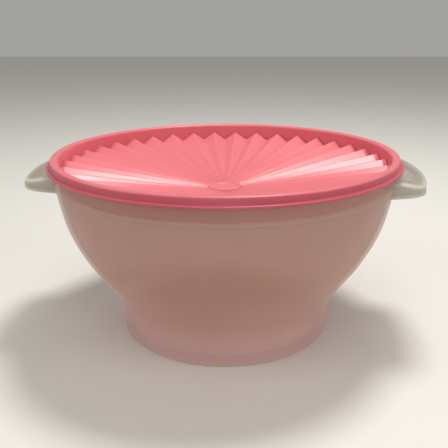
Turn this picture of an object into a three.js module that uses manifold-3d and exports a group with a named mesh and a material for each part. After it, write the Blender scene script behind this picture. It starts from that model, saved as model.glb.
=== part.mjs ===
// Lidded serving bowl, millimetres, +Z up, foot on z = 0, the two handles on the X axis.
// Two mouldings: a frosted bowl with handles, and a pink press-down lid. The lid is split at its
// two flex lines into an outer seal ring, a pleated diaphragm and a centre button.
import * as THREE from "three";
import { mergeVertices } from "three/addons/utils/BufferGeometryUtils.js";
import Module from "manifold-3d";

const wasm = await Module();
wasm.setup();

// ---- driving dimensions ---------------------------------------------------------------------
const PLEATS = 38; // folds round the lid
const SEGMENTS = 2 * PLEATS; // lathe facets, so that ridges and valleys meet them
const GAP = 0.3; // clearance between neighbouring pieces
const WALL = 2.1; // bowl wall

const FLOOR_UNDER = 9.8; // floor of the bowl, above the recess in the foot
const FLOOR_TOP = 12;
const FOOT_FLAT = [79.4, 82.2]; // flat ring that stands on the table
const COLLAR_Z = 123; // lower edge of the thick band under the lid
const BAND_R = 133.4; // outside of that band at its top
const BAND_TOP = 136.1;
const RIM_IN = 129; // upright rim that the lid clips over
const RIM_OUT = 131.2;
const RIM_TOP = 141.4;

const HANDLE_R = 153.5; // outer edge of each handle
const HANDLE_HALF = 20; // degrees to each side of X
const HANDLE_CORNER = 10;
const HANDLE_SKIN = 2.2;

const LID_TOP = 143.4;
const LID_OUT = 133.7; // outside of the seal ring
const BEAD_R = 136.6; // thin lip round its lower edge
const PLUG_IN = 127.6; // inside of the ring's plug wall
const PLUG_Z = 125.2;
const RIDGE_Z = [114.5, 136.5]; // ridge line: at the button, at the ring
const VALLEY_Z = [113.5, 129.5];
const SHEET = 1.8; // pleated sheet, measured along Z
const BUTTON_R = 12.9;

// ---- helpers --------------------------------------------------------------------------------
function volume(geo) {
  const p = geo.getAttribute("position");
  const index = geo.getIndex();
  const [a, b, c] = [new THREE.Vector3(), new THREE.Vector3(), new THREE.Vector3()];
  let sum = 0;
  for (let i = 0; i < index.count; i += 3) {
    a.fromBufferAttribute(p, index.getX(i));
    b.fromBufferAttribute(p, index.getX(i + 1));
    c.fromBufferAttribute(p, index.getX(i + 2));
    sum += a.dot(b.cross(c)) / 6;
  }
  return sum;
}

// welds a geometry, drops faces of no area and turns its faces outwards
function closed(geo) {
  geo.deleteAttribute("normal");
  geo.deleteAttribute("uv");
  const out = mergeVertices(geo, 1e-4);
  const index = Array.from(out.getIndex().array);
  const kept = [];
  for (let i = 0; i < index.length; i += 3) {
    const [a, b, c] = index.slice(i, i + 3);
    if (a !== b && b !== c && c !== a) kept.push(a, b, c);
  }
  out.setIndex(kept);
  if (volume(out) < 0) {
    for (let i = 0; i < kept.length; i += 3) [kept[i], kept[i + 1]] = [kept[i + 1], kept[i]];
    out.setIndex(kept);
  }
  out.computeVertexNormals();
  return out;
}

// a profile of [radius, height] pairs turned round Z
function turned(profile, segments = SEGMENTS) {
  const points = profile.map(([r, z]) => new THREE.Vector2(r, z));
  return closed(new THREE.LatheGeometry(points, segments).rotateX(Math.PI / 2));
}

const ring = (profile, segments) => turned([...profile, profile[0]], segments);

function solid(geo) {
  const vertProperties = new Float32Array(geo.getAttribute("position").array);
  const triVerts = new Uint32Array(geo.getIndex().array);
  return new wasm.Manifold(new wasm.Mesh({ numProp: 3, vertProperties, triVerts }));
}

function fromSolid(body) {
  const mesh = body.getMesh();
  const geo = new THREE.BufferGeometry();
  geo.setAttribute("position", new THREE.BufferAttribute(new Float32Array(mesh.vertProperties), 3));
  geo.setIndex(Array.from(mesh.triVerts));
  return closed(geo);
}

// ---- bowl -----------------------------------------------------------------------------------
// outside of the wall, from the top of the foot to the collar
const WALL_LINE = [
  [84.9, 12], [85.9, 20], [87.4, 26], [89.8, 32], [93.6, 38.5], [98, 45], [103.4, 52.5],
  [108.5, 60], [113.2, 67.5], [117.2, 75], [120.9, 82.5], [123.8, 90], [127.9, 105], [130.3, 119],
];

// inside of the wall: the outside line moved in by one wall, square to the line
function inside(line, wall) {
  return line.map(([r, z], i) => {
    const [r0, z0] = line[Math.max(i - 1, 0)];
    const [r1, z1] = line[Math.min(i + 1, line.length - 1)];
    const run = Math.hypot(r1 - r0, z1 - z0);
    return [r - (wall * (z1 - z0)) / run, z + (wall * (r1 - r0)) / run];
  });
}

const bowlProfile = [
  [0, FLOOR_UNDER],
  [77, FLOOR_UNDER],
  [78.7, 8.4],
  [FOOT_FLAT[0], 0],
  [FOOT_FLAT[1], 0],
  [84.1, 1.4],
  [84.7, 4],
  ...WALL_LINE,
  [130.6, COLLAR_Z - 0.4],
  [132, COLLAR_Z + 0.4],
  [BAND_R, BAND_TOP - 1],
  [BAND_R - 0.5, BAND_TOP],
  [RIM_OUT, BAND_TOP],
  [RIM_OUT, RIM_TOP - 0.7],
  [RIM_OUT - 0.7, RIM_TOP],
  [RIM_IN + 0.7, RIM_TOP],
  [RIM_IN, RIM_TOP - 0.7],
  [RIM_IN, COLLAR_Z],
  ...inside(WALL_LINE, WALL).slice(1).reverse(),
  [82.8, 14.4],
  [80.4, FLOOR_TOP],
  [0, FLOOR_TOP],
];

// plan outline of one handle on +X, moved in by `inset`, as a prism from z0 to z1
function handlePrism(inset, z0, z1) {
  const r = HANDLE_R - inset;
  const corner = HANDLE_CORNER - inset;
  const half = THREE.MathUtils.degToRad(HANDLE_HALF);
  const reach = HANDLE_R - HANDLE_CORNER; // radius on which both corner centres lie
  const turn = half - Math.asin(HANDLE_CORNER / reach);
  const shape = new THREE.Shape();
  const low = new THREE.Vector2(reach * Math.cos(turn), -reach * Math.sin(turn));
  const root = 120;
  const shift = new THREE.Vector2(inset * Math.sin(half), inset * Math.cos(half));
  shape.moveTo(root * Math.cos(half) + shift.x, -root * Math.sin(half) + shift.y);
  shape.absarc(low.x, low.y, corner, -Math.PI / 2 - half, -turn, false);
  shape.absarc(0, 0, r, -turn, turn, false);
  shape.absarc(low.x, -low.y, corner, turn, Math.PI / 2 + half, false);
  shape.lineTo(root * Math.cos(half) + shift.x, root * Math.sin(half) - shift.y);
  const prism = new THREE.ExtrudeGeometry(shape, {
    depth: z1 - z0, bevelEnabled: false, curveSegments: 8,
  });
  return solid(closed(prism.translate(0, 0, z0)));
}

// the ring of material a handle is cut from: sloping top, rounded fold, sloping lower edge
const handleRing = ring([
  [RIM_IN + 0.8, 131.4], [150.4, 129.8], [152.6, 129], [153.6, 127.2], [158, 127.2],
  [158, 123], [RIM_IN + 0.8, 117.6],
], 2 * SEGMENTS);
// the space under its skin, open below
const handleHollow = ring([
  [110, 133], [131, 131.4 - HANDLE_SKIN], [150, 129.8 - HANDLE_SKIN], [151.6, 126.4],
  [156, 126.4], [156, 100], [110, 100],
], 2 * SEGMENTS);

const outer = handlePrism(0, 105, 140).intersect(solid(handleRing));
const pocket = handlePrism(HANDLE_SKIN, 101, 139).intersect(solid(handleHollow));
const handle = outer.subtract(pocket);
const bowl = solid(turned(bowlProfile)).add(handle).add(handle.rotate([0, 0, 180]));

// ---- lid ------------------------------------------------------------------------------------
const plugOut = RIM_IN - GAP;
const channelOut = RIM_OUT + GAP;
const roof = RIM_TOP + 0.4; // underside of the channel over the bowl's rim
const beadZ = BAND_TOP + 0.4;
const lidRim = ring([
  [PLUG_IN, PLUG_Z],
  [plugOut - 0.4, PLUG_Z],
  [plugOut, PLUG_Z + 0.6],
  [plugOut, roof - 0.6],
  [plugOut + 0.6, roof],
  [channelOut - 0.5, roof],
  [channelOut, roof - 0.5],
  [channelOut, beadZ + 0.4],
  [channelOut + 0.4, beadZ],
  [BEAD_R - 0.6, beadZ],
  [BEAD_R, beadZ + 0.6],
  [BEAD_R, beadZ + 1.1],
  [BEAD_R - 0.6, beadZ + 1.6],
  [LID_OUT + 1, beadZ + 1.8],
  [LID_OUT + 0.3, beadZ + 2.6],
  [LID_OUT, LID_TOP - 1.1],
  [LID_OUT - 0.6, LID_TOP - 0.3],
  [LID_OUT - 1.6, LID_TOP],
  [PLUG_IN + 1.5, LID_TOP],
  [PLUG_IN + 0.4, LID_TOP - 0.5],
  [PLUG_IN, LID_TOP - 1.4],
]);

// pleated sheet: straight ridges and valleys from the button to the ring
function pleatedSheet() {
  const radii = [BUTTON_R + GAP, PLUG_IN - GAP];
  const at = (i, end, drop) => {
    const angle = (i * Math.PI) / PLEATS;
    const z = (i % 2 ? RIDGE_Z : VALLEY_Z)[end] - drop;
    return [radii[end] * Math.cos(angle), radii[end] * Math.sin(angle), z];
  };
  const corners = (i) => [at(i, 0, 0), at(i, 1, 0), at(i, 1, SHEET), at(i, 0, SHEET)];
  const points = [];
  for (let i = 0; i < SEGMENTS; i += 1) {
    const here = corners(i);
    const next = corners((i + 1) % SEGMENTS);
    for (let side = 0; side < 4; side += 1) {
      const [a, b] = [here[side], here[(side + 1) % 4]];
      const [c, d] = [next[(side + 1) % 4], next[side]];
      // the diagonal joins the same ends of both skins, so their facets stay parallel
      points.push(...(side === 2 ? [a, b, d, b, c, d] : [a, b, c, a, c, d]));
    }
  }
  const geo = new THREE.BufferGeometry();
  geo.setAttribute("position", new THREE.Float32BufferAttribute(points.flat(), 3));
  return closed(geo);
}

const button = turned([
  [0, 112.2], [BUTTON_R - 0.3, 112.2], [BUTTON_R, 112.6], [BUTTON_R, 114.2],
  [BUTTON_R - 0.5, 114.7], [BUTTON_R - 1.5, 114.7], [BUTTON_R - 2, 114], [0, 114],
], PLEATS);

// ---- assembly -------------------------------------------------------------------------------
const FROSTED = { color: 0xdcc3bb, roughness: 0.45, metalness: 0, transparent: true, opacity: 0.85 };
const PINK = { color: 0xe8697c, roughness: 0.3, metalness: 0 };

const part = new THREE.Group();
part.name = "lidded_bowl";
for (const [name, geometry, look] of [
  ["bowl", fromSolid(bowl), FROSTED],
  ["lid_rim", lidRim, PINK],
  ["lid_pleats", pleatedSheet(), PINK],
  ["lid_button", button, PINK],
]) {
  const mesh = new THREE.Mesh(geometry, new THREE.MeshStandardMaterial(look));
  mesh.name = name;
  part.add(mesh);
}

export default part;
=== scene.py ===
import math

import bmesh
import bpy
import numpy as np
from mathutils import Matrix, Vector


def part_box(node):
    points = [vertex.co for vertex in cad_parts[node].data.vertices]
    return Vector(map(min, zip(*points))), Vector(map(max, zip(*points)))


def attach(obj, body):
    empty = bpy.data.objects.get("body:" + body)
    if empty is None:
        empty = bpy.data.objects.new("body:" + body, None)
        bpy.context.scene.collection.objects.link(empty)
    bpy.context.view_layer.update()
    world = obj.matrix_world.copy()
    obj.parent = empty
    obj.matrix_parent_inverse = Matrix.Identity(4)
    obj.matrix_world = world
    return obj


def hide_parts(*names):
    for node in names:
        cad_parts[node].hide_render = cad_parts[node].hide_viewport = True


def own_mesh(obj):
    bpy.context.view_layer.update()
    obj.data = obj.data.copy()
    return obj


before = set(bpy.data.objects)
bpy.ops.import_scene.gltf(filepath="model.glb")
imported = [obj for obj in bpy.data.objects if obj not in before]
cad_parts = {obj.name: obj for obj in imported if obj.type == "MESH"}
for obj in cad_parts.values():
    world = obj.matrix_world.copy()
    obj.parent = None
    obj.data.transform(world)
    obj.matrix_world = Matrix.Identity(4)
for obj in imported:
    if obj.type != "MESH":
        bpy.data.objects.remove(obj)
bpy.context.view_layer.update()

# ---- driving sizes, millimetres, from the CAD part ----------------------------------------------
MM = 0.001
TURN = 2 * math.pi
PLEATS = 38

rim_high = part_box("lid_rim")[1]
bowl_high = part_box("bowl")[1]
LID_TOP = rim_high.z / MM
BEAD_R = rim_high.x / MM  # tip of the lid's thin outer lip
HANDLE_R = bowl_high.x / MM
RIM_TOP = bowl_high.z / MM
BUTTON_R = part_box("lid_button")[1].x / MM

FLOOR_UNDER, FLOOR_TOP = 9.8, 12
WALL = 2.1
COLLAR_Z = 121.6  # where the wall ends and the thick band begins


# ---- mesh helpers (all in millimetres until the mesh is made) ---------------------------------
def smooth_line(points, step):
    """Catmull-Rom curve through [r, z] points, sampled about every `step` mm."""
    p = np.array(points, float)
    last = len(p) - 1
    out = []
    for i in range(last):
        b, c = p[i], p[i + 1]
        a = p[i - 1] if i else 2 * b - c
        d = p[i + 2] if i + 1 < last else 2 * c - b
        count = max(1, int(np.ceil(np.linalg.norm(c - b) / step)))
        ta, tb = (c - a) / 2, (d - b) / 2
        for t in np.arange(count) / count:
            t2, t3 = t * t, t * t * t
            out.append(
                (2 * t3 - 3 * t2 + 1) * b + (t3 - 2 * t2 + t) * ta
                + (3 * t2 - 2 * t3) * c + (t3 - t2) * tb
            )
    out.append(p[-1])
    return np.array(out)


def rounded(points, radii, steps):
    """A polyline whose corners are replaced with arcs of the given radii, mm."""
    nearly_straight = math.pi / 2 - 0.02
    longest = 0.48  # share of a side that one corner may use
    p = np.array(points, float)
    n = len(p)
    out = []
    for i, r in enumerate(radii):
        if r <= 0:
            out.append(p[i])
            continue
        a, b, c = p[(i - 1) % n], p[i], p[(i + 1) % n]
        u, v = a - b, c - b
        lu, lv = np.linalg.norm(u), np.linalg.norm(v)
        u, v = u / lu, v / lv
        half = math.acos(max(-1, min(1, float(u @ v)))) / 2
        if half > nearly_straight:
            out.append(b)
            continue
        cut = min(r / math.tan(half), lu * longest, lv * longest)
        r = cut * math.tan(half)
        centre = b + (u + v) / np.linalg.norm(u + v) * (r / math.sin(half))
        start, end = b + u * cut - centre, b + v * cut - centre
        first = math.atan2(start[1], start[0])
        sweep = (math.atan2(end[1], end[0]) - first + math.pi) % TURN - math.pi
        for k in range(steps + 1):
            t = first + sweep * k / steps
            out.append(centre + r * np.array([math.cos(t), math.sin(t)]))
    return np.array(out)


def grid_mesh(name, rows, wrap_u=False, wrap_v=False):
    """Mesh of quads through an array of points rows[v][u] in mm."""
    rows = np.asarray(rows, float)
    nv, nu, _ = rows.shape
    faces = []
    for v in range(nv if wrap_v else nv - 1):
        for u in range(nu if wrap_u else nu - 1):
            a, b = v * nu + u, v * nu + (u + 1) % nu
            c, d = (v + 1) % nv * nu + (u + 1) % nu, (v + 1) % nv * nu + u
            faces.append((a, b, c, d))
    mesh = bpy.data.meshes.new(name)
    mesh.from_pydata([tuple(p * MM) for p in rows.reshape(-1, 3)], [], faces)
    mesh.validate()
    mesh.update()
    obj = bpy.data.objects.new(name, mesh)
    bpy.context.scene.collection.objects.link(obj)
    return obj


def weld(obj):
    """Joins points that meet, turns the faces outwards and shades them smoothly."""
    bm = bmesh.new()
    bm.from_mesh(obj.data)
    bmesh.ops.remove_doubles(bm, verts=bm.verts, dist=0.01 * MM)
    bmesh.ops.recalc_face_normals(bm, faces=bm.faces)
    bm.to_mesh(obj.data)
    bm.free()
    for poly in obj.data.polygons:
        poly.use_smooth = True


def lathe(name, profile, segments, closed=False):
    """A profile of [r, z] turned round Z; points on the axis are welded."""
    angle = np.arange(segments) * TURN / segments
    rows = [
        np.stack([r * np.cos(angle), r * np.sin(angle), np.full(segments, z)], 1)
        for r, z in profile
    ]
    obj = grid_mesh(name, rows, wrap_u=True, wrap_v=closed)
    weld(obj)
    return obj


def paint(obj, name, values):
    """Stores one number per point of a mesh, for its material to read."""
    obj.data.attributes.new(name, "FLOAT", "POINT").data.foreach_set("value", values)


def join(objects, name):
    bpy.ops.object.select_all(action="DESELECT")
    for obj in objects:
        obj.select_set(True)
    bpy.context.view_layer.objects.active = objects[0]
    bpy.ops.object.join()
    objects[0].name = objects[0].data.name = name
    return objects[0]


# ---- bowl shell ---------------------------------------------------------------------------------
FOOT_END = [84.75, 5.2]
wall = smooth_line(
    [FOOT_END, [84.9, 12], [85.8, 20], [87.4, 26], [89.8, 32], [93.6, 38.5], [98, 45],
     [103.4, 52.5], [108.5, 60], [113.2, 67.5], [117.2, 75], [120.9, 82.5], [123.8, 90],
     [126.1, 97.5], [127.9, 105], [129.3, 112], [130.3, 119], [130.55, COLLAR_Z]],
    step=2.0,
)


def moved_in(line, distance):
    along = np.gradient(line, axis=0)
    along /= np.linalg.norm(along, axis=1)[:, None]
    return line + distance * np.stack([-along[:, 1], along[:, 0]], 1)


foot = rounded(
    [[76.2, FLOOR_UNDER], [78.7, FLOOR_UNDER], [79.3, 0], [84.6, 0], FOOT_END],
    [0, 2.2, 0.7, 3.4, 0], steps=7,
)
band = rounded(
    [[130.55, COLLAR_Z], [130.65, 123.0], [132.1, 123.5], [133.4, 135.9], [131.15, 136.1],
     [131.15, RIM_TOP], [129.05, RIM_TOP], [129.0, 124.0], [128.45, COLLAR_Z]],
    [0, 0.5, 0.7, 0.8, 0.5, 0.95, 0.95, 0.8, 0], steps=6,
)
FILLET_Z = 18  # top of the fillet between the inner wall and the floor
inner_wall = moved_in(wall, WALL)[::-1]
inner_wall = inner_wall[(inner_wall[:, 1] > FILLET_Z) & (inner_wall[:, 1] < COLLAR_Z - 0.6)]
inner_floor = rounded(
    [[83.75, FILLET_Z], [83.1, FLOOR_TOP], [74, FLOOR_TOP]], [0, 4.2, 0], steps=9,
)

profile = [[r, FLOOR_UNDER] for r in (0, 6, 20, 38, 56, 70)]
profile += foot.tolist() + wall[1:].tolist() + band[1:].tolist()
profile += inner_wall.tolist() + inner_floor.tolist()
profile += [[r, FLOOR_TOP] for r in (66, 52, 36, 20, 6, 0)]
shell = lathe("bowl_body", profile, 304)


# ---- handles ------------------------------------------------------------------------------------
HALF = math.radians(20)
CORNER = 10.0
REACH = HANDLE_R - CORNER  # radius on which the corner centres lie
BEND = HALF - math.asin(CORNER / REACH)
ROOT = 130.0  # radius inside the band where a handle starts
SKIN = 2.1


def outline(inset):
    """Plan outline of a handle on +X, moved in by `inset`: end wall, corner, arc, corner, end wall."""
    centre = REACH * np.array([math.cos(BEND), -math.sin(BEND)])
    square_out = -math.pi / 2 - HALF

    def on_corner(t):
        return centre + (CORNER - inset) * np.array([math.cos(t), math.sin(t)])

    # the end wall runs back along the radial line until it meets the bowl
    start = on_corner(square_out)
    along = np.array([math.cos(-HALF), math.sin(-HALF)])
    b = start @ along
    root = start + along * (math.sqrt(b * b - (start @ start - ROOT * ROOT)) - b)
    pts = [root + (start - root) * t for t in np.linspace(0, 1, 14, endpoint=False)]
    pts += [on_corner(t) for t in np.linspace(square_out, -BEND, 16, endpoint=False)]
    for t in np.linspace(-BEND, 0, 22, endpoint=False):
        pts.append((HANDLE_R - inset) * np.array([math.cos(t), math.sin(t)]))
    pts = np.array(pts)
    mirror = pts[::-1] * [1, -1]
    return np.concatenate([pts, [[HANDLE_R - inset, 0]], mirror])


def top_z(r):
    """Height of a handle's sloping top."""
    return 131.4 - (r - 130.0) * (1.6 / 20.5)


def lip_z(r):
    """Height of its sloping lower edge."""
    return 118.0 + (r - 130.0) * (4.3 / 23.5)


# section from the underside, round the lip, to the top: inset, surface measured from, height above
# it, and how much solid plastic is seen edge-on (most at the lip and along the fold), which makes it less
# see-through and carries a painted whiter highlight
SECTION = [
    (9.4, top_z, -SKIN, 0), (6.4, top_z, -SKIN, 0), (4.4, top_z, -SKIN, 0.1),
    (3.3, top_z, -SKIN - 0.25, 0.5), (2.6, top_z, -SKIN - 0.9, 0.8), (2.35, top_z, -SKIN - 1.9, 0.5),
    (2.35, lip_z, 3.4, 0.1), (2.45, lip_z, 1.6, 0.5), (2.45, lip_z, 0.75, 0.9), (2.2, lip_z, 0.25, 1),
    (1.6, lip_z, 0.0, 1), (0.8, lip_z, 0.0, 1), (0.25, lip_z, 0.25, 1), (0.0, lip_z, 0.75, 1),
    (0.0, lip_z, 1.7, 0.5), (0.15, lip_z, 3.4, 0.1), (0.15, top_z, -3.2, 0.3), (0.3, top_z, -2.0, 0.7),
    (0.85, top_z, -0.95, 1), (1.8, top_z, -0.3, 0.8), (3.0, top_z, 0.0, 0.4), (4.4, top_z, 0.0, 0.1),
    (6.4, top_z, 0.0, 0), (9.4, top_z, 0.0, 0),
]


def to_wall(row, dz, steps=4):
    """Rows that carry the last loop of a handle's skin in to the bowl."""
    angle = np.arctan2(row[:, 1], row[:, 0])
    edge_r = np.linalg.norm(row[:, :2], axis=1)
    out = []
    for t in np.arange(1, steps + 1) / steps:
        r = edge_r + (ROOT - edge_r) * t
        out.append(np.column_stack([r * np.cos(angle), r * np.sin(angle), top_z(r) + dz]))
    return out


def handle_part(name, turn):
    rows = []
    for inset, base, dz, _ in SECTION:
        line = outline(inset)
        rows.append(np.column_stack([line, base(np.linalg.norm(line, axis=1)) + dz]))
    under, over = to_wall(rows[0], -SKIN)[::-1], to_wall(rows[-1], 0.0)
    obj = grid_mesh(name, under + rows + over)
    edge = [0.0] * len(under) + [loop[3] for loop in SECTION] + [0.0] * len(over)
    edge = np.repeat(edge, rows[0].shape[0])
    # edge: mask for the painted whiter highlight along the lip and fold, and for how see-through the
    # plastic is
    paint(obj, "edge", edge)
    paint(obj, "grip", 1 - 0.7 * edge)
    weld(obj)
    if turn:
        obj.data.transform(Matrix.Rotation(turn, 4, "Z"))
    return obj


bowl = join(
    [shell, handle_part("handle_right", 0), handle_part("handle_left", math.pi)], "bowl_shell"
)

# ---- lid ----------------------------------------------------------------------------------------
BEAD_Z = 136.5
PLUG_R, PLUG_Z = 127.6, 125.2
CHANNEL_Z = 141.8  # underside of the channel that sits over the bowl's rim
LID_R = 133.7
rim_profile = rounded(
    [[PLUG_R, PLUG_Z], [128.7, PLUG_Z], [128.7, CHANNEL_Z], [131.5, CHANNEL_Z], [131.5, BEAD_Z],
     [BEAD_R, BEAD_Z], [BEAD_R, BEAD_Z + 1.6], [134.0, BEAD_Z + 1.8], [LID_R, LID_TOP],
     [PLUG_R, LID_TOP]],
    [0.3, 0.4, 0.5, 0.5, 0.5, 0.75, 0.7, 0.9, 1.5, 2.0], steps=8,
)
rim = lathe("lid_seal_ring", rim_profile, 380, closed=True)
at = np.array([v.co for v in rim.data.vertices]) / MM
# painted shade mask: the ring's outer wall, below its top edge
past_rim = np.clip(np.hypot(at[:, 0], at[:, 1]) - 132.6, 0, 1)
paint(rim, "ring_wall_shade", past_rim * np.clip((LID_TOP - 0.3 - at[:, 2]) / 1.2, 0, 1))

# heights of the fold lines at the disc and at the ring
RIDGE = (114.5, 136.5)
VALLEY = (113.5, 129.5)
IN_R, OUT_R = BUTTON_R + 0.05, PLUG_R - 0.05
SHEET = 1.8  # thickness, measured along Z
FOLD = 1.1  # how far from a fold line the sheet is rounded


def fold(x, w):
    """abs(x) with its corner rounded off within w of it."""
    return np.where(np.abs(x) < w, (x * x + w * w) / (2 * w), np.abs(x))


def pleat_sheet():
    # places across half a pleat, closest together at the valley (0) and the ridge (0.5)
    near = np.array([0, 0.012, 0.024, 0.036, 0.05, 0.07, 0.10, 0.14, 0.19])
    half = np.concatenate([near, [0.25], 0.5 - near[:0:-1]])
    t = (np.concatenate([half, half + 0.5])[None, :] + np.arange(PLEATS)[:, None]).ravel()
    angle = t * TURN / PLEATS
    saw = 1 - np.abs((t % 1) * 2 - 1)  # 0 in a valley, 1 on a ridge
    rows = []
    for k in np.linspace(0, 1, 34) ** 1.25:
        r = IN_R + (OUT_R - IN_R) * k
        high = RIDGE[0] + (RIDGE[1] - RIDGE[0]) * k
        low = VALLEY[0] + (VALLEY[1] - VALLEY[0]) * k
        w = min(0.38, FOLD / (TURN * r / PLEATS / 2))  # rounding, as a share of half a pitch
        share = (fold(saw, w) - fold(1 - saw, w) + 1) / 2
        z = low + (high - low) * share
        rows.append(np.column_stack([r * np.cos(angle), r * np.sin(angle), z]))
    under = np.array(rows[::-1]) - [0, 0, SHEET]
    obj = grid_mesh("lid_pleated_sheet", np.concatenate([rows, under]), wrap_u=True, wrap_v=True)
    weld(obj)
    return obj


pleats = pleat_sheet()

DISC_LOW, DISC_TOP, DISC_EDGE = 112.2, 114.0, 114.7
disc_profile = rounded(
    [[0, DISC_LOW], [BUTTON_R, DISC_LOW], [BUTTON_R, DISC_EDGE], [BUTTON_R - 1.7, DISC_EDGE],
     [BUTTON_R - 2.5, DISC_TOP], [0, DISC_TOP]],
    [0, 0.4, 0.25, 0.5, 0.5, 0], steps=6,
)
button = lathe("lid_centre_disc", disc_profile, 152)


# ---- materials ----------------------------------------------------------------------------------
def srgb(r, g, b):
    """Linear colour with full alpha from 0-255 screen values."""
    return (*(((c / 255 + 0.055) / 1.055) ** 2.4 for c in (r, g, b)), 1)


def material(name):
    mat = bpy.data.materials.new(name)
    mat.use_nodes = True
    mat.node_tree.nodes.clear()
    return mat, mat.node_tree


def node(tree, kind, inputs=None, **settings):
    """Adds a node; an input is either a value or another node's output to link."""
    n = tree.nodes.new(kind)
    for key, value in settings.items():
        setattr(n, key, value)
    for key, value in (inputs or {}).items():
        if isinstance(value, bpy.types.NodeSocket):
            tree.links.new(value, n.inputs[key])
        else:
            n.inputs[key].default_value = value
    return n


def ramp(tree, factor, stops):
    n = node(tree, "ShaderNodeValToRGB", {"Fac": factor})
    elements = n.color_ramp.elements
    while len(elements) < len(stops):
        elements.new(0.5)
    for element, (position, colour) in zip(elements, stops):
        element.position = position
        element.color = colour
    return n.outputs["Color"]


def mix(tree, factor, first, second, blend="MIX"):
    inputs = {0: factor, 6: first, 7: second}
    return node(tree, "ShaderNodeMix", inputs, data_type="RGBA", blend_type=blend).outputs[2]


def times(tree, value, factor):
    return node(tree, "ShaderNodeMath", {0: value, 1: factor}, operation="MULTIPLY").outputs[0]


def spread(tree, value, low, high):
    """Maps 0-1 to low-high."""
    return node(tree, "ShaderNodeMapRange", {"Value": value, "To Min": low, "To Max": high}).outputs[0]


def point_value(tree, name):
    return node(tree, "ShaderNodeAttribute", attribute_name=name).outputs["Fac"]


def mottle(tree, scale, detail, seed=0.0):
    """Noise in the object's own metres; `seed` moves it to another place in the pattern."""
    coord = node(tree, "ShaderNodeTexCoord").outputs["Object"]
    place = {"Vector": coord, "Location": (seed, seed * 0.7, seed * 1.3)}
    move = node(tree, "ShaderNodeMapping", place).outputs["Vector"]
    noise = {"Vector": move, "Scale": scale, "Detail": detail, "Roughness": 0.55}
    return node(tree, "ShaderNodeTexNoise", noise).outputs["Fac"]


def bumps(tree, height, strength):
    inputs = {"Height": height, "Strength": strength, "Distance": 0.0002}
    return node(tree, "ShaderNodeBump", inputs).outputs["Normal"]


def blend_shaders(tree, factor, first, second):
    inputs = {0: factor, 1: first.outputs[0], 2: second.outputs[0]}
    return node(tree, "ShaderNodeMixShader", inputs)


def output(tree, shader):
    node(tree, "ShaderNodeOutputMaterial", {"Surface": shader.outputs[0]})


def frosted():
    """Translucent milky polypropylene: fine frosting, faint flow marks, and a painted pink glow that is
    pinker and lighter low down.
    """
    mat, tree = material("frosted_bowl_plastic")
    coord = node(tree, "ShaderNodeTexCoord").outputs["Object"]
    z = node(tree, "ShaderNodeSeparateXYZ", {0: coord}).outputs["Z"]
    # painted light: the body's pink-beige colour stands in for pink light coming through the lid; pinker
    # and lighter low down for that glow and for light bounced off the floor, with a painted pale line at
    # the floor's height
    tint_and_painted_glow = ramp(tree, times(tree, z, 1 / 0.143), [
        (0.0, srgb(250, 222, 220)), (0.072, srgb(248, 218, 216)), (0.086, srgb(255, 240, 235)),
        (0.10, srgb(250, 224, 220)), (0.25, srgb(238, 209, 200)), (0.50, srgb(217, 187, 174)),
        (0.86, srgb(207, 179, 166)), (0.93, srgb(214, 183, 173)),
    ])
    cloud = ramp(tree, mottle(tree, 16, 3), [(0.3, (0.94, 0.94, 0.94, 1)), (0.7, (1, 1, 1, 1))])
    colour = mix(tree, 1.0, tint_and_painted_glow, cloud, "MULTIPLY")
    # painted highlight: whiter where solid plastic is seen edge-on along the lip and fold; the rest of the
    # handles greyer, kept out of the pink glow painted on the body
    edge = point_value(tree, "edge")
    colour = mix(tree, times(tree, edge, 0.9), colour, srgb(248, 250, 240))
    colour = mix(tree, point_value(tree, "grip"), colour, srgb(204, 232, 226), "MULTIPLY")
    surface = node(tree, "ShaderNodeBsdfPrincipled", {
        "IOR": 1.49, "Sheen Weight": 1.0, "Sheen Roughness": 0.35,
        "Base Color": colour,
        "Roughness": spread(tree, mottle(tree, 60, 4, 3.0), 0.29, 0.42),
        "Normal": bumps(tree, mottle(tree, 900, 2, 1.0), 0.12),
    })
    pale = mix(tree, 0.4, colour, srgb(250, 240, 234))
    through = node(tree, "ShaderNodeBsdfTranslucent", {"Color": pale})
    clear = node(tree, "ShaderNodeBsdfTransparent", {"Color": (1.0, 0.97, 0.955, 1)})
    milky = blend_shaders(tree, 0.5, surface, through)
    output(tree, blend_shaders(tree, spread(tree, edge, 0.42, 0.12), milky, clear))
    return mat


def pink(name, seed, thin, thick, share):
    """Smooth coral-pink polyethylene: satin gloss, slight flow marks, fine handling marks and painted
    shade on the ring's outer wall.
    """
    mat, tree = material(name)
    colour = ramp(tree, mottle(tree, 14, 3, seed), [(0.25, srgb(*thin)), (0.75, srgb(*thick))])
    # painted shade: the ring's upright outer wall gets less light, so it is painted deeper
    colour = mix(tree, point_value(tree, "ring_wall_shade"), colour, srgb(226, 200, 212), "MULTIPLY")
    surface = node(tree, "ShaderNodeBsdfPrincipled", {
        "IOR": 1.51, "Specular IOR Level": 0.42,
        "Base Color": colour,
        "Roughness": spread(tree, mottle(tree, 45, 4, seed + 2), 0.285, 0.36),
        "Normal": bumps(tree, mottle(tree, 420, 2, seed + 4), 0.05),
    })
    through = node(tree, "ShaderNodeBsdfTranslucent", {"Color": colour})
    output(tree, blend_shaders(tree, share, surface, through))
    return mat


bowl.data.materials.append(frosted())
sheet_pink = pink("coral_lid_plastic", 0.0, (233, 130, 138), (241, 139, 146), 0.22)
for piece in (pleats, button):
    piece.data.materials.append(sheet_pink)
# the ring is the thickest part of the lid, so less light comes through it; its darker colours are painted
# shade, since its upright walls get less light
rim.data.materials.append(pink("coral_ring_plastic_painted_shade", 5.0, (228, 118, 129), (235, 126, 136), 0.16))

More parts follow.
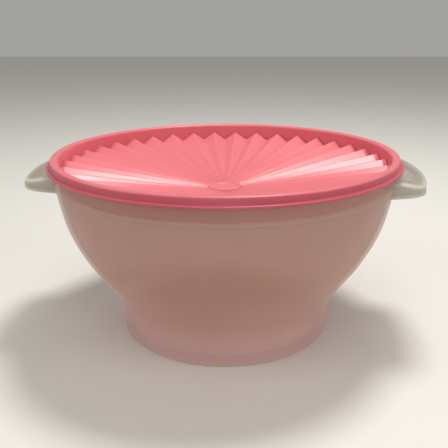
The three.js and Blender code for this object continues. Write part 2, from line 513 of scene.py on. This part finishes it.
# ---- what each piece belongs to -------------------------------------------------------------------
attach(bowl, "bowl")
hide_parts("bowl")
for piece, body, cad in (
    (rim, "lid", "lid_rim"), (pleats, "lid", "lid_pleats"), (button, "lid_centre", "lid_button"),
):
    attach(piece, body)
    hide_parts(cad)
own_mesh(pleats)

# ---- floor, light, camera -------------------------------------------------------------------------
bpy.ops.mesh.primitive_plane_add(size=8, location=(0, 0, 0))
floor = bpy.context.object
floor.name = "floor"
floor_mat, tree = material("pale_floor")
output(tree, node(tree, "ShaderNodeBsdfPrincipled", {"Base Color": srgb(222, 220, 214), "Roughness": 0.6}))
floor.data.materials.append(floor_mat)

world = bpy.data.worlds.new("studio")
bpy.context.scene.world = world
world.use_nodes = True
background = world.node_tree.nodes["Background"]
background.inputs["Color"].default_value = (0.86, 0.85, 0.83, 1)
background.inputs["Strength"].default_value = 0.42

WARM = (1, 0.98, 0.95)


def area(name, at, aim, size, power, colour=WARM):
    data = bpy.data.lights.new(name, "AREA")
    data.shape = "DISK"
    data.size = size
    data.energy = power
    data.color = colour
    obj = bpy.data.objects.new(name, data)
    bpy.context.scene.collection.objects.link(obj)
    obj.location = at
    obj.rotation_euler = (Vector(aim) - Vector(at)).to_track_quat("-Z", "Y").to_euler()


# the small overhead lamp makes the bright streaks on the pleats, and the fills stay soft
area("overhead", (0.17, 0.25, 1.25), (0, 0, 0.1), 0.32, 11.0)
area("front_fill", (0.1, -1.0, 2.0), (0, 0, 0.1), 1.25, 8.0)
area("low_fill", (0.05, -1.5, 0.5), (0, -0.08, 0.0), 0.8, 2.5, (1, 0.96, 0.95))
area("right_fill", (1.5, -0.45, 0.8), (0, 0, 0.08), 0.8, 4.2)
area("left_fill", (-1.5, -0.6, 1.1), (0, 0, 0.08), 0.9, 5.4)
bpy.context.scene.view_settings.view_transform = "Standard"

AZIMUTH = math.radians(5)
PITCH = math.radians(18.42)
ROLL = math.radians(-0.28)
DISTANCE, HEIGHT = 0.4737, 0.2402
LEFT = 0.00095
camera_data = bpy.data.cameras.new("camera")
camera_data.sensor_width = 36
camera_data.lens = 48.95
camera_data.clip_start = 0.01
camera = bpy.data.objects.new("camera", camera_data)
bpy.context.scene.collection.objects.link(camera)
right = Vector((math.cos(AZIMUTH), math.sin(AZIMUTH), 0))
back = Vector((math.sin(AZIMUTH), -math.cos(AZIMUTH), 0))
camera.location = back * DISTANCE + Vector((0, 0, HEIGHT)) - right * LEFT
look = Matrix.Rotation(AZIMUTH, 4, "Z") @ Matrix.Rotation(math.pi / 2 - PITCH, 4, "X")
camera.rotation_euler = (look @ Matrix.Rotation(ROLL, 4, "Z")).to_euler()
bpy.context.scene.camera = camera
